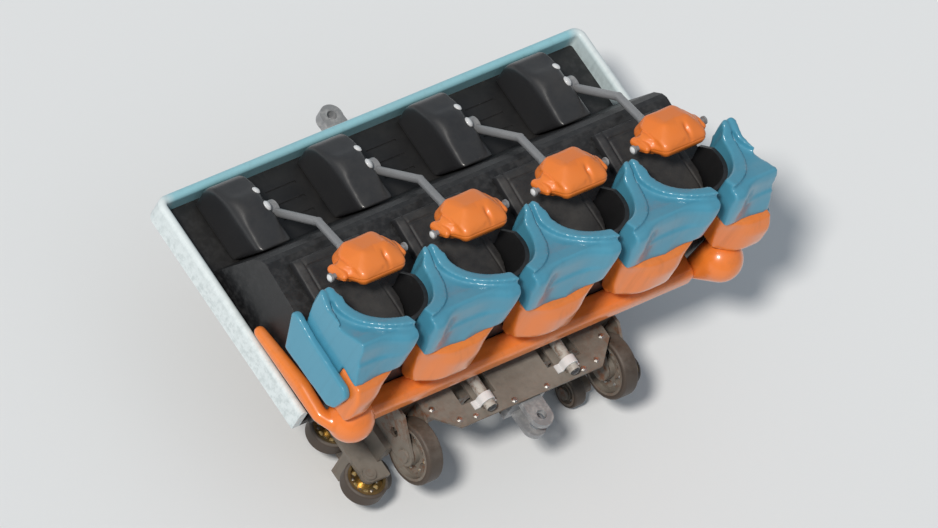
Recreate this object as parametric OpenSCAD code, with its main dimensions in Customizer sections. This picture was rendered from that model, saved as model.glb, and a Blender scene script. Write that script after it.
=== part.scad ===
// Roller coaster car with one row of four seats, carried on one axle and coupled to the car in front.
// +X is the riders' right, +Y the way they face, +Z up. The origin is midway between the coupling pins, at the
// level on which the lowest wheels stand.

/* [Row of seats] */
// Distance from one seat to the next
seat_pitch = 610; // [590:5:640]
// Radius of the rounded hollow that a rider sits in
hollow_r = 235; // [215:5:240]
// Height of the seat surface at its front edge above the floor
seat_h = 430; // [400:5:450]
// Fall of the seat surface from front to back
seat_fall = 40; // [20:5:60]
// Wall thickness of the seat mouldings
seat_wall = 20; // [14:1:26]
// Thickness of a seat cushion
cushion_t = 45; // [30:1:60]

/* [Coupling] */
// Distance from the front coupling pin to the rear one
car_pitch = 1800; // [1780:10:1860]
// Radius of the coupling bores
pin_bore_r = 25; // [20:0.5:30]
// Outer radius of the coupling eyes
eye_r = 60; // [50:1:70]
// Thickness of the front coupling eye
eye_t = 60; // [50:1:70]
// Height of the couplings
coupling_z = 560; // [540:5:580]

/* [Floor] */
// Distance that the floor reaches past the outer shells
floor_over = 40; // [30:2:50]
// Distance from the front coupling pin back to the front edge of the floor
floor_setback = 160; // [140:5:200]
// Height of the top of the floor
floor_z = 780; // [770:5:800]
// Thickness of the floor plate
floor_t = 30; // [20:1:40]
// Height of the raised edge above the floor
rim_h = 100; // [80:5:120]
// Thickness of the raised edge
rim_t = 45; // [30:1:60]

/* [Back shells] */
// Height of the front tip of a divider shell above the shoulder of the seat
tip_rise = 345; // [320:5:365]
// Height of the rear lobes above the front tip
lobe_rise = 85; // [65:2:100]
// Depth of the crease between the two lips of a divider shell
lip_h = 34; // [24:1:40]
// Width of the rounded lip along a hollow
lip_w = 60; // [54:1:64]
// Height of the seam between a divider shell and its bowl above the shoulder
seam_rise = 150; // [130:5:165]
// Half of the slot between two divider shells
slot_half = 45; // [35:1:55]
// Half of the width of a divider shell at its front tip
wing_tip_half = 45; // [30:1:55]
// Distance that the outer shells reach past the end of the row
wing_end = 40; // [30:1:55]

/* [Leg pods] */
// Width of the pod between a rider's legs
pod_w = 200; // [180:5:220]
// Distance from the middle of the seat to the middle of the pod on its left
pod_shift = 60; // [50:2:70]
// Distance from the front edge of the floor back to the restraint pivot
pivot_setback = 300; // [280:5:330]
// Height of the restraint pivot above the raised edge
pivot_rise = 60; // [45:5:80]
// Radius of the restraint pivot pin
pivot_r = 20; // [16:1:24]

/* [Restraint] */
// Length from the pivot to the middle of the lap pad
arm_len = 800; // [770:5:830]
// Slope of the closed arm above the horizontal
arm_slope = 38; // [36:1:41]
// Radius of the arm tube
arm_r = 28; // [22:1:32]
// Width of the lap pad
pad_w = 330; // [280:10:380]
// Length of the lap pad
pad_len = 300; // [260:10:340]

/* [Wheels] */
// Distance from the middle of the car to the middle of a rail
rail_x = 600; // [580:5:620]
// Diameter of the rail tube that the wheels embrace
rail_d = 140; // [120:5:150]
// Radius of a road wheel
road_r = 160; // [140:5:170]
// Width of a road wheel
road_w = 90; // [70:2:96]
// Half of the distance between the two road wheels of a side
road_half = 190; // [185:1:200]
// Radius of a guide wheel
guide_r = 110; // [90:5:115]
// Width of a guide wheel
guide_w = 80; // [60:2:84]
// Half of the distance between the two guide wheels of a side
guide_half = 150; // [148:1:170]
// Radius of an upstop wheel
upstop_r = 80; // [70:2:86]
// Width of an upstop wheel
upstop_w = 70; // [50:2:80]
// Half of the distance between the two upstop wheels of a side
upstop_half = 95; // [92:1:110]
// Radius of the wheel pins
axle_r = 20; // [16:1:24]
// Distance from the rear coupling pin forward to the middle of the wheel carriers
axle_setback = 330; // [310:5:350]

/* [Chassis] */
// Width of the spine tube
spine_w = 200; // [160:5:240]
// Height of the spine tube
spine_h = 150; // [120:5:170]
// Thickness of the carrier plates
plate_t = 15; // [12:1:18]
// Thickness of the brake fin
fin_t = 14; // [10:1:20]

/* [Clearances] */
// Running clearance beside a wheel
side_gap = 6; // [5:0.5:9]
// Running clearance between a pin and its bore
run_gap = 0.1; // [0.05:0.01:0.1]
// Gap between neighbouring mouldings
seam = 0.3; // [0.2:0.1:0.6]

/* [Hidden] */
$fn = 64;
hull_fn = 24;
SEATS = 4;

// Colours as seen in daylight
TEAL = [0.30, 0.58, 0.66];
PALE = [0.80, 0.88, 0.88];
ORANGE = [0.93, 0.47, 0.18];
BLACK = [0.09, 0.09, 0.10];
STEEL = [0.42, 0.39, 0.36];
GREY = [0.55, 0.55, 0.57];
TREAD = [0.16, 0.13, 0.10];

// Heights that the back shares
beam_top = floor_z + 109;
corner_top = floor_z + 280;
bulb_r = 115;

// Places along the car
front_pin_y = car_pitch / 2;
rear_pin_y = -car_pitch / 2;
axle_y = rear_pin_y + axle_setback;
floor_y = front_pin_y - floor_setback;
end_x = SEATS * seat_pitch / 2 + wing_end;
floor_w = 2 * (end_x + floor_over);
seat_z = floor_z + seat_h;
rim_top = floor_z + rim_h;
pivot_y = floor_y - pivot_setback;
pivot_z = rim_top + pivot_rise;

// Places of the seats and of the dividers between them
function seat_x(i) = (i - (SEATS + 1) / 2) * seat_pitch;
function wing_x(i) = (i - (SEATS + 2) / 2) * seat_pitch;
hollow_y = -290;
seat_front = 130;
leg_foot = 330;
seat_back = hollow_y - hollow_r - 15;
floor_back = seat_back + 20;
seat_low = seat_z - seat_fall;
shoulder_z = seat_low - 10;
wing_front = -215;
liner_t = seat_wall;
rim_round = 60;
wing_tip_z = shoulder_z + tip_rise;
wing_top_z = wing_tip_z + lobe_rise;
seam_z = shoulder_z + seam_rise;

// Extrudes an outline given in (x, z) along Y, from y0 over a length w
module along_y(y0, w) {
  translate([0, y0 + w, 0]) rotate([90, 0, 0]) linear_extrude(w) children();
}

// Heights of the rail and the wheels on it
upstop_z = upstop_r;
rail_low = 2 * upstop_r + 2;
rail_z = rail_low + rail_d / 2;
rail_top = rail_low + rail_d;
road_z = rail_top + road_r;
guide_x = rail_x + rail_d / 2 + guide_r + 1;

// A circle's points from one angle to another
function arc(cx, cy, r, from, to, n = 8) =
  [for (k = [0 : n]) [cx + r * cos(from + (to - from) * k / n), cy + r * sin(from + (to - from) * k / n)]];

// Extrudes an outline given in (y, z) along X, from x0 over a width w
module along_x(x0, w) {
  translate([x0, 0, 0]) rotate([90, 0, 90]) linear_extrude(w) children();
}

// A round bar along X
module bar_x(x0, w, y, z, r) {
  translate([x0, y, z]) rotate([0, 90, 0]) cylinder(h = w, r = r);
}

// A round bar between two points
module rod(a, b, r) {
  d = b - a;
  length = norm(d);
  translate(a) rotate([0, acos(d[2] / length), atan2(d[1], d[0])]) cylinder(h = length, r = r);
}

// Half outline of a wheel: hub, web and rounded tread
module wheel_outline(r, w, bore) {
  hub_r = max(bore + 18, r * 0.34);
  tread = r * 0.14;
  round_r = min(tread, w * 0.16);
  web = w * 0.34;
  difference() {
    polygon(concat(
      [[bore, -w / 2], [r - round_r, -w / 2]],
      arc(r - round_r, -w / 2 + round_r, round_r, -90, 0, 6),
      arc(r - round_r, w / 2 - round_r, round_r, 0, 90, 6),
      [[bore, w / 2]]
    ));
    translate([hub_r, web / 2]) square([r - tread - 14 - hub_r, w]);
    translate([hub_r, -web / 2 - w]) square([r - tread - 14 - hub_r, w]);
    translate([r - tread - 1, w / 2 - 2]) square([2, 4]);
    translate([r - tread - 1, -w / 2 - 2]) square([2, 4]);
  }
}

module wheel(r, w, spokes = 6) {
  bore = axle_r + run_gap;
  hub_r = max(bore + 18, r * 0.34);
  reach = r - r * 0.14 - 14;
  hole_r = (reach - hub_r) * 0.3;
  difference() {
    rotate_extrude() wheel_outline(r, w, bore);
    for (k = [0 : spokes - 1])
      rotate(k * 360 / spokes) translate([(hub_r + reach) / 2, 0, -w]) cylinder(h = 2 * w, r = hole_r);
  }
}

// side is -1 on the left and 1 on the right, end is 1 at the front and -1 at the rear
module road_wheel(side, end) {
  color(TREAD) translate([side * rail_x, axle_y + end * road_half, road_z])
    rotate([0, 90, 0]) wheel(road_r, road_w, 8);
}

module guide_wheel(side, end) {
  color(TREAD) translate([side * guide_x, axle_y + end * guide_half, rail_z]) wheel(guide_r, guide_w);
}

module upstop_wheel(side, end) {
  color(TREAD) translate([side * rail_x, axle_y + end * upstop_half, upstop_z])
    rotate([0, 90, 0]) wheel(upstop_r, upstop_w);
}

// Wheel carrier, drawn on the right and mirrored for the left
inner_x = rail_x - road_w / 2 - side_gap - plate_t;
outer_x = rail_x + road_w / 2 + side_gap;
skirt_x = rail_x + rail_d / 2 + 8;
web_half = guide_half - guide_r - side_gap - 2;
guide_top = rail_z + guide_w / 2 + side_gap;
low_plate_x = rail_x + upstop_w / 2 + side_gap;
bridge_half = road_half - road_r - side_gap;

module carrier_cheek(x0, w) {
  along_x(x0, w) difference() {
    polygon(concat(
      arc(axle_y + road_half, road_z, 55, -90, 60),
      [[axle_y + 70, road_z + road_r + 10], [axle_y - 70, road_z + road_r + 10]],
      arc(axle_y - road_half, road_z, 55, 120, 270)
    ));
    for (end = [-1, 1]) translate([axle_y + end * 78, road_z + 40]) circle(r = 26);
  }
}

module carrier(side) {
  color(STEEL) mirror([side < 0 ? 1 : 0, 0, 0]) {
    carrier_cheek(inner_x, plate_t);
    carrier_cheek(outer_x, plate_t);
    // Bridge over and between the road wheels
    translate([inner_x, axle_y - bridge_half, road_z - 40])
      cube([outer_x + plate_t - inner_x, 2 * bridge_half, road_r + 50]);
    // Skirt down the outside of the rail
    translate([outer_x, axle_y - 110, rail_top + 28])
      cube([skirt_x + 1.5 * plate_t - outer_x, 220, road_z - 45 - rail_top - 28]);
    translate([skirt_x, axle_y - 110, guide_top]) cube([1.5 * plate_t, 220, rail_top + 30 - guide_top]);
    // Shelf that carries the guide wheels
    along_z(guide_top, 22) polygon(concat(
      [[skirt_x, axle_y - guide_half - 40], [guide_x, axle_y - guide_half - 40]],
      arc(guide_x, axle_y - guide_half, 40, -90, 20, 6),
      arc(guide_x, axle_y + guide_half, 40, -20, 90, 6),
      [[skirt_x, axle_y + guide_half + 40]]
    ));
    for (end = [-1, 1]) {
      bar_x(inner_x, outer_x + plate_t - inner_x, axle_y + end * road_half, road_z, axle_r);
      bar_x(outer_x + plate_t, 12, axle_y + end * road_half, road_z, axle_r + 14);
      translate([guide_x, axle_y + end * guide_half, rail_z - guide_w / 2 - side_gap - 10])
        cylinder(h = guide_top + 40 - (rail_z - guide_w / 2 - side_gap - 10), r = axle_r);
      translate([guide_x, axle_y + end * guide_half, rail_z - guide_w / 2 - side_gap - 10])
        cylinder(h = 10, r = axle_r + 12);
      translate([guide_x, axle_y + end * guide_half, guide_top + 22]) cylinder(h = 14, r = axle_r + 14);
      bar_x(rail_x - upstop_w / 2 - side_gap - 10, upstop_w + 2 * side_gap + 12, axle_y + end * upstop_half, upstop_z, axle_r);
      bar_x(rail_x - upstop_w / 2 - side_gap - 10, 10, axle_y + end * upstop_half, upstop_z, axle_r + 12);
    }
    // Web between the guide wheels, down to the upstop plate
    translate([skirt_x, axle_y - web_half, upstop_z - 40])
      cube([90, 2 * web_half, guide_top - upstop_z + 45]);
    along_x(low_plate_x, skirt_x + 20 - low_plate_x) difference() {
      polygon(concat(
        arc(axle_y + upstop_half, upstop_z, 38, -90, 90, 8),
        arc(axle_y - upstop_half, upstop_z, 38, 90, 270, 8)
      ));
    }
  }
}

module along_z(z0, h) {
  translate([0, 0, z0]) linear_extrude(h) children();
}

// Chassis: spine, axle beam, deck behind the seats and the outriggers under the floor
spine_z = coupling_z - spine_h / 2;
spine_front = floor_y - 40;
spine_rear = rear_pin_y + 130;
beam_h = 130;
outrigger_t = 60;
brace_x = 255;
brace_r = 28;
brace_lift = brace_r + 20;
outrigger_y = [floor_y - 130, 120, axle_y + 110];

module outrigger(y) {
  reach = floor_w / 2 - 90;
  translate([0, y + outrigger_t / 2, 0]) rotate([90, 0, 0]) linear_extrude(outrigger_t) polygon([
    [-reach, floor_z - floor_t], [reach, floor_z - floor_t], [reach, floor_z - floor_t - 45],
    [spine_w / 2 + 130, floor_z - floor_t - 90], [spine_w / 2, coupling_z], [-spine_w / 2, coupling_z],
    [-spine_w / 2 - 130, floor_z - floor_t - 90], [-reach, floor_z - floor_t - 45]
  ]);
}

module chassis() {
  color(STEEL) {
    difference() {
      translate([-spine_w / 2, spine_rear, spine_z]) cube([spine_w, spine_front - spine_rear, spine_h]);
      translate([-spine_w / 2 + 12, spine_rear - 1, spine_z + 12])
        cube([spine_w - 24, 60, spine_h - 24]);
    }
    // Axle beam between the carriers
    difference() {
      translate([-inner_x, axle_y - 65, road_z - beam_h / 2]) cube([2 * inner_x, 130, beam_h]);
      for (side = [-1, 1], k = [0.35, 0.62])
        translate([side * k * inner_x, axle_y - 66, road_z]) rotate([-90, 0, 0]) cylinder(h = 132, r = 26);
    }
    for (y = outrigger_y) outrigger(y);
    // Deck behind the row, with its slots
    along_z(spine_z + spine_h, 12) difference() {
      polygon([
        [-560, axle_y + 60], [560, axle_y + 60], [560, axle_y - 120], [430, spine_rear - 40],
        [-430, spine_rear - 40], [-560, axle_y - 120]
      ]);
      for (side = [-1, 1]) {
        translate([side * 330 - 35, axle_y - 140]) square([70, 150]);
        translate([side * 180 - 20, axle_y - 140]) square([40, 150]);
      }
    }
    // Posts from the axle beam to the floor
    for (side = [-1, 1])
      translate([side * 430 - 45, seat_back, road_z + beam_h / 2 - 5])
        cube([90, 90, floor_z - floor_t - road_z - beam_h / 2 + 5]);
    // Brace tubes along the deck
    for (side = [-1, 1])
      translate([side * brace_x, spine_rear - 20, spine_z + spine_h + brace_lift]) rotate([-90, 0, 0])
        cylinder(h = axle_y - spine_rear, r = brace_r);
    for (side = [-1, 1], y = [axle_y - 60, spine_rear])
      translate([side * brace_x - 20, y, spine_z + spine_h]) cube([40, 24, brace_lift]);
  }
}

// Nose that carries the eye of the front coupling
module front_coupler() {
  color(GREY) difference() {
    union() {
      along_z(coupling_z - eye_t / 2, eye_t) polygon(concat(
        [[-70, spine_front], [70, spine_front]],
        [[eye_r * 0.95, front_pin_y - 18]],
        [[-eye_r * 0.95, front_pin_y - 18]]
      ));
      translate([0, front_pin_y, coupling_z - eye_t / 2]) cylinder(h = eye_t, r = eye_r);
      translate([-70, spine_front, coupling_z - 60]) cube([140, 40, 120]);
    }
    translate([0, front_pin_y, coupling_z - eye_t]) cylinder(h = 2 * eye_t, r = pin_bore_r);
  }
}

// Two ears that take the eye of the car behind
ear_t = 30;
ear_gap = eye_t + 4;
module rear_coupler() {
  color(GREY) difference() {
    union() {
      for (z = [coupling_z - ear_gap / 2 - ear_t, coupling_z + ear_gap / 2]) {
        translate([0, rear_pin_y, z]) cylinder(h = ear_t, r = eye_r);
        translate([-eye_r, rear_pin_y, z]) cube([2 * eye_r, spine_rear - rear_pin_y, ear_t]);
      }
      translate([-spine_w / 2, spine_rear - 30, spine_z]) cube([spine_w, 30, spine_h]);
    }
    translate([0, rear_pin_y, coupling_z - ear_gap]) cylinder(h = 2 * ear_gap, r = pin_bore_r);
  }
}

// Fin under the spine that the brakes grip
fin_front = floor_y - 80;
fin_back = -220;
module brake_fin() {
  color(GREY) {
    along_x(-fin_t / 2, fin_t) polygon([
      [fin_back + 70, 0], [fin_front - 70, 0], [fin_front, 60], [fin_front, 190], [fin_back, 190], [fin_back, 60]
    ]);
    for (y = [fin_back + 60, (fin_front + fin_back) / 2 - 45, fin_front - 150])
      along_x(-fin_t / 2 - 18, fin_t + 36) difference() {
        polygon([[y, 140], [y + 90, 140], [y + 110, spine_z], [y - 20, spine_z]]);
        translate([y + 45, (140 + spine_z) / 2 + 20]) circle(r = 24);
      }
  }
}

// Floor tray and its raised edge
module floor_pan() {
  color(BLACK) difference() {
    along_z(floor_z - floor_t, floor_t) polygon(concat(
      [[-floor_w / 2 + rim_t + seam, floor_back], [floor_w / 2 - rim_t - seam, floor_back]],
      arc(floor_w / 2 - rim_round, floor_y - rim_round, rim_round - rim_t - seam, 0, 90, 6),
      arc(-floor_w / 2 + rim_round, floor_y - rim_round, rim_round - rim_t - seam, 90, 180, 6)
    ));
    for (i = [1 : SEATS + 1], k = [0 : 2])
      if (i > 1 && i <= SEATS)
        translate([wing_x(i) - 90, leg_foot + 90 + k * 80, floor_z - 6]) cube([180, 14, 12]);
  }
}

module rim_section() {
  translate([0, floor_z - floor_t]) square([rim_t, rim_h + floor_t - rim_t / 2]);
  translate([rim_t / 2, rim_top - rim_t / 2]) circle(r = rim_t / 2);
}

module floor_rim() {
  color(PALE) {
    // Front
    translate([-floor_w / 2 + rim_round, floor_y - rim_t, 0]) along_x(0, floor_w - 2 * rim_round) rim_section();
    for (side = [-1, 1]) mirror([side < 0 ? 1 : 0, 0, 0]) {
      translate([floor_w / 2 - rim_t, 0, 0]) rotate([90, 0, 0])
        translate([0, 0, -(floor_y - rim_round)]) linear_extrude(floor_y - rim_round - floor_back) rim_section();
      // Rounded corner
      translate([floor_w / 2 - rim_round, floor_y - rim_round, 0]) rotate_extrude(angle = 90)
        translate([rim_round - rim_t, 0]) rim_section();
    }
  }
}

// Pod between a rider's legs, with the pin of the restraint
pod_right = pod_w / 2 - pod_shift;
boss_x = pod_right + 4;
arm_w = 44;
arm_x = boss_x + side_gap + arm_w / 2;
pin_end_x = boss_x + 2 * side_gap + arm_w;
pod_top = pivot_z + 105;
pod_front = floor_y - rim_t - 20;
pod_round = 70;

// The seats' sloping front at a height
function front_y(z) = leg_foot - (z - floor_z) * (leg_foot - seat_front - 40) / (seat_z - 60 - floor_z);

module pod_side() {
  polygon(concat(
    [[pod_front, floor_z], [pod_front, floor_z + 90]],
    arc(pod_front - 110, floor_z + 110, 110, 0, 50, 5),
    arc(pivot_y + 30, pod_top - 120, 120, 50, 118, 8),
    [[front_y(floor_z + 235) + 8, floor_z + 235], [leg_foot + 8, floor_z]]
  ));
}

module pod_face() {
  polygon(concat(
    [[-pod_w / 2, floor_z], [-pod_w / 2, pod_top - 150]],
    arc(-pod_w / 2 + pod_round, pod_top - pod_round, pod_round, 165, 95, 6),
    arc(pod_w / 2 - pod_round, pod_top - pod_round, pod_round, 85, 15, 6),
    [[pod_w / 2, pod_top - 150], [pod_w / 2, floor_z]]
  ));
}

module leg_pod(i) {
  middle = seat_x(i) - pod_shift;
  difference() {
    intersection() {
      along_x(middle - pod_w / 2 - 1, pod_w + 2) pod_side();
      along_y(0, floor_y) translate([middle, 0]) pod_face();
    }
    // Hollow inside
    along_x(middle - pod_w / 2 + 16, pod_w - 32) polygon([
      [pod_front - 30, floor_z - 1], [pod_front - 60, floor_z + 90], [pivot_y + 50, pivot_z - 60],
      [pivot_y + 10, pivot_z - 60], [leg_foot + 60, floor_z - 1]
    ]);
  }
  // Boss, pin and cap
  bar_x(seat_x(i) + pod_right - 5, 9, pivot_y, pivot_z, pivot_r + 22);
  bar_x(seat_x(i) + pod_right - 4, pin_end_x - pod_right + 6, pivot_y, pivot_z, pivot_r);
  bar_x(seat_x(i) + pin_end_x, 8, pivot_y, pivot_z, pivot_r + 14);
}

module leg_pods() {
  color(BLACK) for (i = [1 : SEATS]) leg_pod(i);
}

// Seat moulding: a hollow pedestal and the rounded wall round the rider
module hollow_plan(r) {
  translate([0, hollow_y]) circle(r = r);
  translate([-r, hollow_y]) square([2 * r, wing_front - hollow_y]);
}

module pedestal_outline(grow = 0) {
  polygon([
    [leg_foot - grow, floor_z + (grow > 0 ? -1 : 0)], [seat_front + 40 - grow, seat_z - 60 - grow],
    [seat_front - grow, seat_z - 14 - grow], [seat_front - 30, seat_z - grow],
    [wing_front - 10, seat_low + 12 - grow], [wing_front - 20, shoulder_z - grow],
    [seat_back + grow, shoulder_z - grow], [seat_back + grow, floor_z + (grow > 0 ? -1 : 0)]
  ]);
}

module seat(i) {
  half = seat_pitch / 2 - seam / 2;
  side_x = floor_w / 2 - rim_t - seam;
  low_x = max(-half, -side_x - seat_x(i));
  high_x = min(half, side_x - seat_x(i));
  color(BLACK) translate([seat_x(i), 0, 0]) {
    difference() {
      along_x(low_x, high_x - low_x) pedestal_outline();
      along_x(low_x + seat_wall, high_x - low_x - 2 * seat_wall) pedestal_outline(seat_wall);
    }
    intersection() {
      along_z(shoulder_z - 5, wing_top_z) difference() {
        hollow_plan(hollow_r - seam);
        hollow_plan(hollow_r - seam - liner_t);
        translate([-hollow_r, wing_front - 1]) square([2 * hollow_r, 10]);
      }
      along_x(-hollow_r, 2 * hollow_r) polygon([
        [wing_front - 30, shoulder_z - 5], [wing_front - 12, seat_z + 100],
        [hollow_y, seat_z + 170], [hollow_y - hollow_r, wing_tip_z - 30], [hollow_y - hollow_r, shoulder_z - 5]
      ]);
    }
  }
}

// Soft cushion on each seat
module seat_cushion(i) {
  r = hollow_r - seam - liner_t - 8;
  translate([seat_x(i), 0, 0]) intersection() {
    along_z(shoulder_z, 400) union() {
      translate([0, hollow_y]) circle(r = r);
      translate([-r, hollow_y]) square([2 * r, seat_front - 60 - hollow_y]);
    }
    along_x(-hollow_r, 2 * hollow_r) polygon([
      [seat_front - 60, seat_z + 0.5], [seat_front - 80, seat_z + cushion_t],
      [wing_front - 10, seat_low + 12 + cushion_t], [hollow_y - hollow_r, seat_low + cushion_t + 10],
      [hollow_y - hollow_r, shoulder_z + 0.5], [wing_front - 20, shoulder_z + 0.5], [wing_front - 10, seat_low + 12.5]
    ]);
  }
}

module seat_cushions() {
  color(BLACK) for (i = [1 : SEATS]) seat_cushion(i);
}

// Divider shell between two seats: narrow in front, wide at the back, its sides the rounded hollows. Two lips run
// along the hollows with a crease between them, and end in the two rear lobes.
wing_half = seat_pitch / 2 - slot_half;
rear_y = seat_back - lip_w;

module hollows(r) {
  for (side = [-1, 1]) translate([side * seat_pitch / 2, hollow_y]) circle(r = r);
}

module wing_plan() {
  difference() {
    polygon(concat(
      arc(0, wing_front - wing_tip_half, wing_tip_half, 0, 180, 10),
      [[-wing_tip_half - 25, hollow_y], [-wing_half, hollow_y - 20], [-wing_half, rear_y - 12]],
      arc(-wing_half + 40, rear_y - 12, 40, 200, 255, 4),
      [[0, rear_y - 80]],
      arc(wing_half - 40, rear_y - 12, 40, 285, 340, 4),
      [[wing_half, rear_y - 12], [wing_half, hollow_y - 20], [wing_tip_half + 25, hollow_y]]
    ));
    hollows(hollow_r);
  }
}

module lip_plan() {
  hollows(hollow_r + lip_w);
  for (side = [-1, 1])
    translate([side * (seat_pitch / 4 + 8) - seat_pitch / 4, hollow_y]) square([seat_pitch / 2, wing_front + 10 - hollow_y]);
}

// Side outlines of the body and of the lips that stand up from it
module wing_foot(drop) {
  polygon(concat(
    [[seat_back, shoulder_z + seam], [wing_front - 70, shoulder_z + seam]],
    [[wing_front - 4, wing_tip_z - 70 - drop]],
    arc(wing_front - 24, wing_tip_z - 22 - drop, 22, 0, 100, 5),
    arc(hollow_y + 20, wing_tip_z + 360 - drop, 395, 263, 233, 6),
    [[rear_y + 25, wing_top_z - 4 - drop]],
    arc(rear_y - 2, wing_top_z - 40 - drop, 40, 60, 170, 5),
    [[rear_y - 64, wing_tip_z - 40], [rear_y - 84, seam_z + seam]],
    [[seat_back, seam_z + seam]]
  ));
}

// What is taken away between the lips of a shell
module wing_cut() {
  polygon(concat(
    arc(wing_front - 24, wing_tip_z - 22 - lip_h, 22, 0, 100, 5),
    arc(hollow_y + 20, wing_tip_z + 360 - lip_h, 395, 263, 233, 6),
    [[rear_y + 25, wing_top_z - 4 - lip_h]],
    arc(rear_y - 2, wing_top_z - 40 - lip_h, 40, 60, 170, 5),
    [[rear_y - 55, wing_tip_z - 60], [rear_y - 120, wing_tip_z - 60]],
    [[rear_y - 120, wing_top_z + 60], [wing_front + 40, wing_top_z + 60]],
    [[wing_front + 40, wing_tip_z - 60]]
  ));
}

// Rear outline: the shells and bowls narrow towards the beam
bowl_low = beam_top + seam;
module shield() {
  bowl_mid = (seam_z + bowl_low) / 2;
  polygon(concat(
    [[-wing_half, wing_top_z + 10], [-wing_half, wing_tip_z - 40], [-wing_half + 22, seam_z], [-wing_half + 62, bowl_mid]],
    [[-wing_half + 110, bowl_low + 70], [-wing_half + 165, bowl_low]],
    [[wing_half - 165, bowl_low], [wing_half - 110, bowl_low + 70]],
    [[wing_half - 62, bowl_mid], [wing_half - 22, seam_z], [wing_half, wing_tip_z - 40], [wing_half, wing_top_z + 10]]
  ));
}

module wing_shell(i) {
  low_x = max(-wing_half - 2, -end_x - wing_x(i));
  high_x = min(wing_half + 2, end_x - wing_x(i));
  color(TEAL) translate([wing_x(i), 0, 0]) difference() {
    intersection() {
      along_z(shoulder_z - 1, wing_top_z) wing_plan();
      along_y(rear_y - 200, wing_front + 20 - rear_y + 200) shield();
      along_x(low_x, high_x - low_x) wing_foot(0);
    }
    difference() {
      along_x(-wing_half - 10, wing_half * 2 + 20) wing_cut();
      along_z(shoulder_z - 20, wing_top_z) lip_plan();
    }
  }
}

// Orange bowls under the divider shells, the end ones cut short over the corners
module lower_shell(i) {
  low_x = max(-wing_half, -end_x - wing_x(i));
  high_x = min(wing_half, end_x - wing_x(i));
  low_z = i == 1 || i == SEATS + 1 ? corner_top + 5 : bowl_low;
  translate([wing_x(i), 0, 0]) intersection() {
    along_z(low_z, seam_z - low_z) polygon(concat(
      [[wing_half, seat_back - seam], [-wing_half, seat_back - seam]],
      arc(0, rear_y + 300, 395, 236, 304, 10)
    ));
    along_y(rear_y - 200, wing_front - rear_y + 200) shield();
    along_x(low_x, high_x - low_x) polygon(concat(
      [[seat_back, seam_z], [rear_y - 84, seam_z], [rear_y - 96, seam_z - 70]],
      arc(rear_y + 120, seam_z - 150, 215, 178, 236, 8),
      [[seat_back - 22, bowl_low - 1], [seat_back, bowl_low - 1]]
    ));
  }
}

module lower_shells() {
  color(ORANGE) for (i = [1 : SEATS + 1]) lower_shell(i);
}

// Beam across the back, under the bowls
beam_drop = 120;
beam_back = seat_back - 115;
beam_low = beam_top - beam_drop;
beam_half = SEATS * seat_pitch / 2 - 90 - bulb_r;
module rear_beam() {
  color(ORANGE) along_x(-beam_half, 2 * beam_half) difference() {
    polygon(concat(
      [[seat_back - seam, beam_low + 20], [seat_back - seam, beam_top]],
      [[seat_back - 40, beam_top]],
      arc(beam_back + 40, beam_top - 44, 40, 80, 180, 6),
      arc(beam_back + 35, beam_low + 35, 35, 180, 260, 6)
    ));
    translate([seat_back - 75, beam_low + 30]) square([50, 50]);
  }
}

// Panels at the two ends of the row
panel_t = 40;
module side_panel(side) {
  color(TEAL) mirror([side < 0 ? 1 : 0, 0, 0])
    along_x(end_x + seam, panel_t) polygon(concat(
      [[wing_front - 40, corner_top + 10]],
      arc(wing_front - 10, shoulder_z + 100, 40, 20, 110, 5),
      [[hollow_y - 60, shoulder_z + 122]],
      arc(rear_y - 10, shoulder_z + 60, 55, 80, 170, 5),
      [[rear_y - 40, corner_top + 60], [rear_y, corner_top + 25]]
    ));
}

// Orange corner: a bulb that caps the beam, and a moulding forward along the side of the floor
module corner(side) {
  bulb_y = seat_back - seam - bulb_r;
  row_end = SEATS * seat_pitch / 2;
  side_r = (floor_w / 2 - row_end) / 2 - 2;
  side_x = (floor_w / 2 + row_end) / 2;
  side_z = rim_top + side_r + 4;
  bulb_x = row_end - 90;
  bulb_z = corner_top - bulb_r;
  color(ORANGE) mirror([side < 0 ? 1 : 0, 0, 0]) union() {
    hull() {
      translate([bulb_x, bulb_y, bulb_z]) sphere(r = bulb_r, $fn = hull_fn);
      translate([beam_half + seam + 40, seat_back - 50, beam_top - 46]) sphere(r = 40, $fn = hull_fn);
      translate([beam_half + seam + 36, beam_back + 42, beam_low + 46]) sphere(r = 36, $fn = hull_fn);
    }
    hull() {
      translate([side_x - 40, bulb_y, bulb_z]) sphere(r = side_r, $fn = hull_fn);
      translate([side_x, seat_back - 40, bulb_z]) sphere(r = side_r, $fn = hull_fn);
    }
    hull() {
      translate([side_x, seat_back - 40, bulb_z]) sphere(r = side_r, $fn = hull_fn);
      translate([side_x, seat_back + 120, side_z + 40]) sphere(r = side_r, $fn = hull_fn);
      translate([side_x, wing_front + 130, side_z]) sphere(r = side_r - 8, $fn = hull_fn);
    }
  }
}

// Restraint: an arm from the pivot pin to the lap pad
function along_arm(s, lift = 0) = [
  pivot_y - s * cos(arm_slope) + lift * sin(arm_slope),
  pivot_z + s * sin(arm_slope) + lift * cos(arm_slope)
];
function arm_point(i, dx, s, lift = 0) = [seat_x(i) + dx, along_arm(s, lift)[0], along_arm(s, lift)[1]];
hand_x = pad_w / 2 + 24;
tube_r = 0.75 * arm_r;
bar_r = 13;
joint_bulge = 1.5;
ear_r = 24;
disc_t = 10;
bar_at = along_arm(arm_len, 30);
bar_half = hand_x + ear_r + 2 * seam + disc_t;
function wrist_point(i) = arm_point(i, 0, arm_len * 0.76, 48);

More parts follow.
